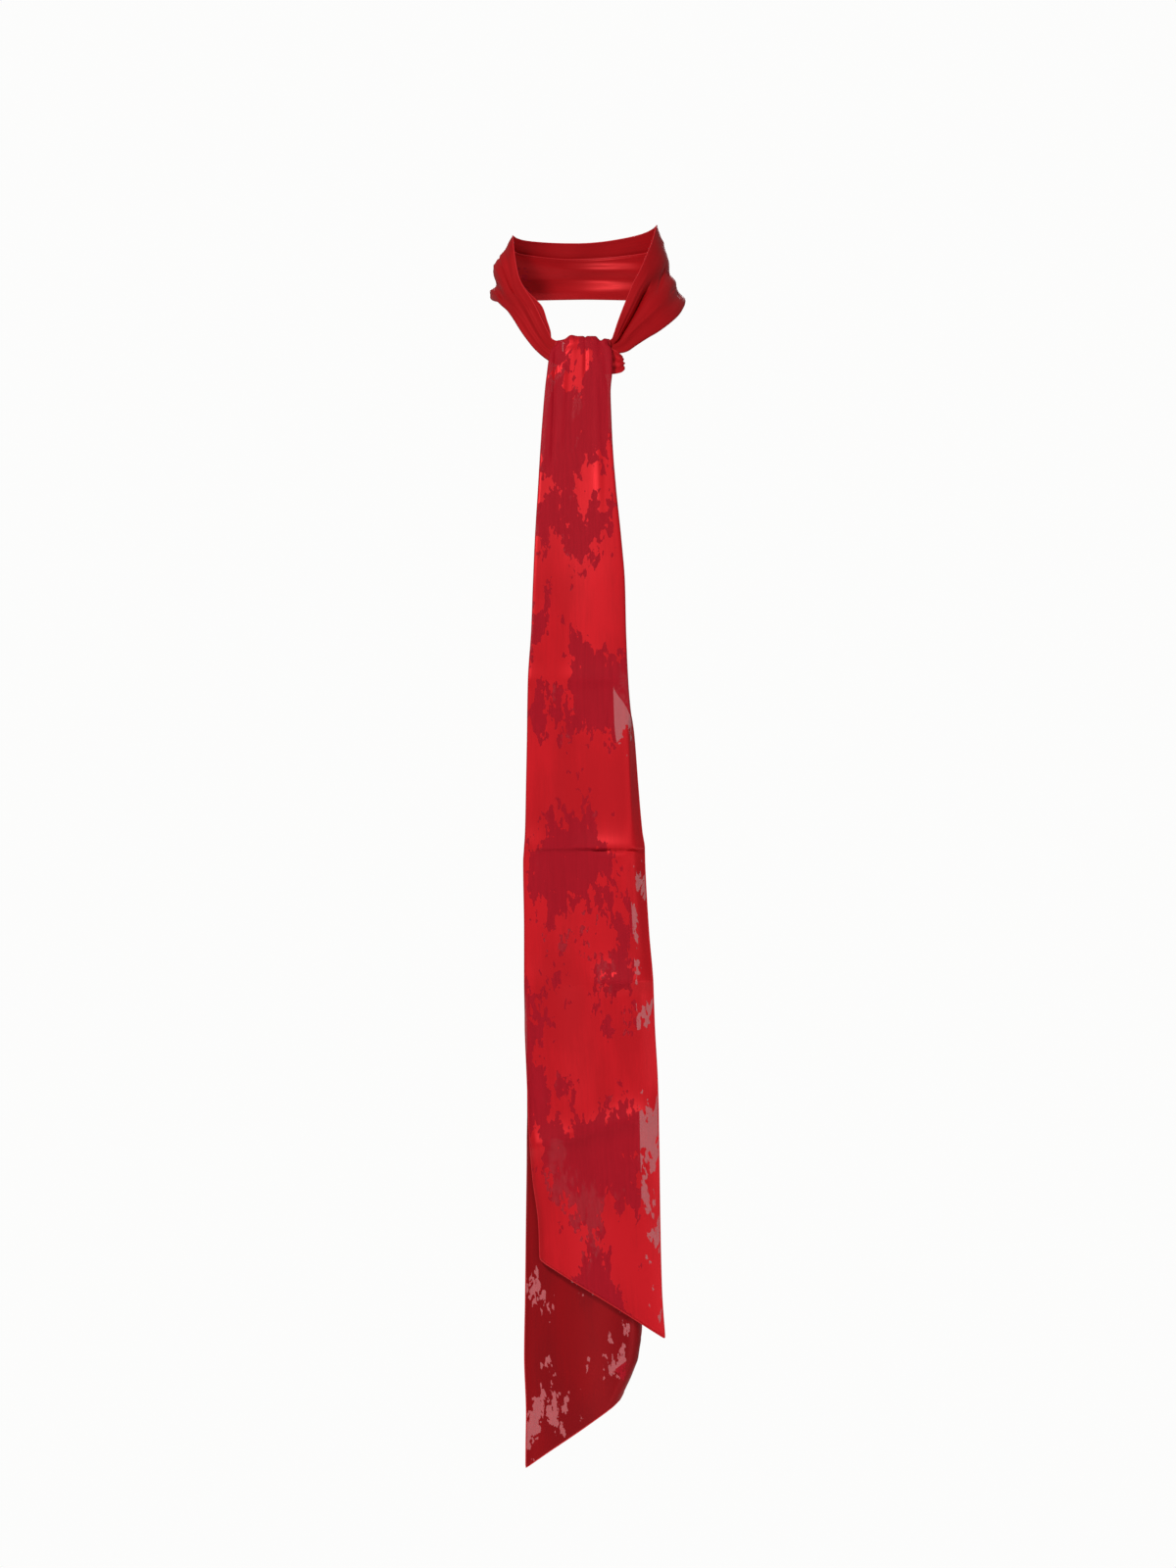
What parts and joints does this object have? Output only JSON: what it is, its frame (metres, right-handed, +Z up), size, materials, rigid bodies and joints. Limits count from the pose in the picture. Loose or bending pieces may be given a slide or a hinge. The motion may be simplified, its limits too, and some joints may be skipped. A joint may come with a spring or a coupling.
{
  "type": "knotted silk stole",
  "caption": "Long narrow silk stole, tied once at the throat, with two slant-ended tails that hang down the front.",
  "frame": {"origin": "middle of the neck opening, at the height where the stole lies on the sides of the neck", "axes": "+Z up along the neck, -Y towards the front where the tails hang, +X to the viewer's right"},
  "size_m": [0.1741, 0.2298, 1.0875],
  "materials": {
    "silk": "satin"
  },
  "bodies": {
    "root": {"neck_right": "silk", "neck_back": "silk", "neck_left": "silk", "knot_wrap": "silk", "front_tail": "silk", "back_tail": "silk"}
  },
  "joints": []
}
